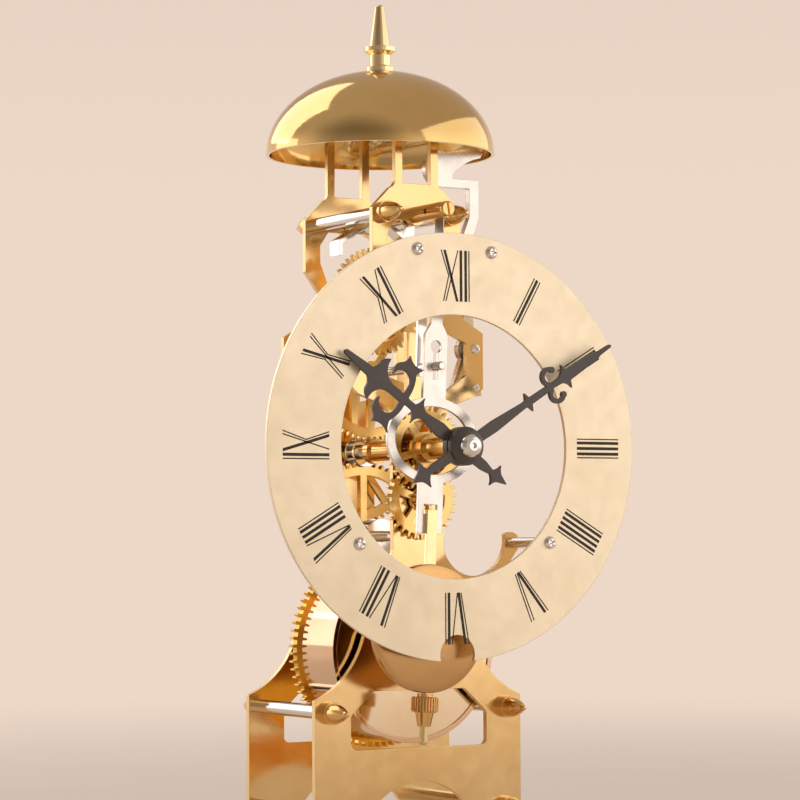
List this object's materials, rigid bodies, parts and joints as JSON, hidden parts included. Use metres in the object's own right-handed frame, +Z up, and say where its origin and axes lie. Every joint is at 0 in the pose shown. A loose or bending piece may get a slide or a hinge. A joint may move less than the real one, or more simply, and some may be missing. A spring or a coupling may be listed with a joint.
{
  "type": "skeleton table clock",
  "caption": "Brass skeleton table clock with ring dial, open wheel train, front pendulum with rating nut, anchor escapement and a hammer under a bell on top.",
  "frame": {"origin": "bottom centre of the bounding box, level with the feet of the plates", "axes": "X to the right seen from the dial, Y to the back, Z up"},
  "size_m": [0.11, 0.0772, 0.2261],
  "materials": {
    "lacquered_brass": "polished and lacquered",
    "polished_steel": "polished",
    "nickel_finish": "satin nickel",
    "black_enamel": "black enamel",
    "gilt_dial": "satin gilt with black numerals"
  },
  "bodies": {
    "frame": {"front_plate": "lacquered_brass", "rear_plate": "lacquered_brass", "upper_pillars": "polished_steel", "lower_pillars": "polished_steel", "bottom_pillars": "polished_steel", "front_pillar_nuts": "lacquered_brass", "rear_pillar_nuts": "lacquered_brass", "dial": "gilt_dial", "dial_posts": "polished_steel", "dial_screws": "nickel_finish", "bell_bridge": "lacquered_brass", "bell_spacer": "lacquered_brass", "bell": "lacquered_brass", "bell_finial": "lacquered_brass", "suspension_post": "lacquered_brass", "suspension_screw": "lacquered_brass", "clamp_screw": "polished_steel", "minute_wheel_stud": "polished_steel", "hammer_stud": "polished_steel", "hammer_stop": "polished_steel", "hammer_spring": "polished_steel", "click_screw": "polished_steel", "click_spring": "polished_steel", "click_spring_screw": "polished_steel"},
    "pendulum": {"suspension_spring": "polished_steel", "spring_block": "lacquered_brass", "pendulum_leader": "nickel_finish", "pendulum_rod": "lacquered_brass"},
    "bob": {"pendulum_bob": "lacquered_brass"},
    "rating_nut": {"rating_nut": "lacquered_brass"},
    "anchor": {"anchor_arbor": "polished_steel", "anchor": "polished_steel", "crutch": "polished_steel"},
    "escape": {"escape_wheel": "lacquered_brass", "escape_arbor": "polished_steel"},
    "third": {"third_wheel": "lacquered_brass", "third_arbor": "polished_steel"},
    "centre": {"centre_arbor": "polished_steel", "centre_collet": "lacquered_brass", "centre_wheel": "lacquered_brass", "strike_cam": "lacquered_brass", "cannon_pinion": "lacquered_brass", "friction_washer": "lacquered_brass", "minute_hand": "black_enamel", "hand_nut": "nickel_finish"},
    "intermediate": {"intermediate_arbor": "polished_steel", "intermediate_wheel": "lacquered_brass"},
    "barrel": {"great_wheel": "lacquered_brass", "barrel_drum": "lacquered_brass", "barrel_cap": "lacquered_brass"},
    "winding": {"barrel_arbor": "polished_steel", "ratchet_wheel": "lacquered_brass"},
    "click": {"click": "polished_steel"},
    "minute_wheel": {"minute_wheel": "lacquered_brass", "minute_wheel_pinion": "lacquered_brass"},
    "hour": {"hour_wheel": "lacquered_brass", "hour_hand": "black_enamel"},
    "hammer": {"hammer": "nickel_finish"}
  },
  "joints": [
    {"name": "escape_wheel_turn", "type": "hinge", "parent": "frame", "child": "escape", "pos_m": [0, 0.01013, 0.1463], "axis": [0, 1, 0], "continuous": true},
    {"name": "third_wheel_turn", "type": "hinge", "parent": "frame", "child": "third", "pos_m": [0, 0.01392, 0.127], "axis": [0, 1, 0], "continuous": true},
    {"name": "minute_hand_turn", "type": "hinge", "parent": "frame", "child": "centre", "pos_m": [0, -0.00988, 0.106], "axis": [0, 1, 0], "continuous": true},
    {"name": "intermediate_wheel_turn", "type": "hinge", "parent": "frame", "child": "intermediate", "pos_m": [0, 0.01852, 0.08321], "axis": [0, 1, 0], "continuous": true},
    {"name": "barrel_turn", "type": "hinge", "parent": "frame", "child": "barrel", "pos_m": [0, 0.00112, 0.05352], "axis": [0, 1, 0], "continuous": true},
    {"name": "minute_wheel_turn", "type": "hinge", "parent": "frame", "child": "minute_wheel", "pos_m": [0, -0.01227, 0.0928], "axis": [0, 1, 0], "continuous": true},
    {"name": "hour_hand_turn", "type": "hinge", "parent": "frame", "child": "hour", "pos_m": [0, -0.02187, 0.106], "axis": [0, 1, 0], "continuous": true},
    {"name": "winding_turn", "type": "hinge", "parent": "frame", "child": "winding", "pos_m": [0, 0.02772, 0.05352], "axis": [0, 1, 0], "continuous": true},
    {"name": "click_lift", "type": "hinge", "parent": "frame", "child": "click", "pos_m": [-0.011, 0.02772, 0.05951], "axis": [0, 1, 0], "range_deg": [-20, 0], "stiffness_Nm_per_rad": 0.001, "springref_deg": 20.05},
    {"name": "pendulum_swing", "type": "hinge", "parent": "frame", "child": "pendulum", "pos_m": [0, -0.02258, 0.166], "axis": [0, 1, 0], "range_deg": [-6.1, 0.5]},
    {"name": "anchor_rock", "type": "hinge", "parent": "frame", "child": "anchor", "pos_m": [0, 0.01013, 0.1676], "axis": [0, 1, 0], "range_deg": [-5.95, 0.55]},
    {"name": "bob_slide", "type": "slide", "parent": "pendulum", "child": "bob", "axis": [0.0488, 0, 0.9988], "range_m": [-0.00225, 0.00225]},
    {"name": "rating_nut_turn", "type": "hinge", "parent": "bob", "child": "rating_nut", "pos_m": [0, -0.02368, 0.166], "axis": [0.0488, 0, 0.9988], "range_deg": [-1890, 1890]},
    {"name": "hammer_swing", "type": "hinge", "parent": "frame", "child": "hammer", "pos_m": [0.0178, -0.00688, 0.1327], "axis": [0, 1, 0], "range_deg": [-9, 1.6], "stiffness_Nm_per_rad": 0.03, "deforming": ["hammer_spring"]}
  ],
  "couplings": [
    {"joint": "third_wheel_turn", "follows": "escape_wheel_turn", "ratio": -0.09375},
    {"joint": "minute_hand_turn", "follows": "escape_wheel_turn", "ratio": 0.0085227},
    {"joint": "intermediate_wheel_turn", "follows": "escape_wheel_turn", "ratio": -0.0014205},
    {"joint": "barrel_turn", "follows": "escape_wheel_turn", "ratio": 0.00021853},
    {"joint": "minute_wheel_turn", "follows": "escape_wheel_turn", "ratio": -0.0028409},
    {"joint": "hour_hand_turn", "follows": "escape_wheel_turn", "ratio": 0.00071023},
    {"joint": "anchor_rock", "follows": "pendulum_swing", "ratio": 0.96069},
    {"joint": "rating_nut_turn", "follows": "bob_slide", "rad_per_m": 13963}
  ]
}
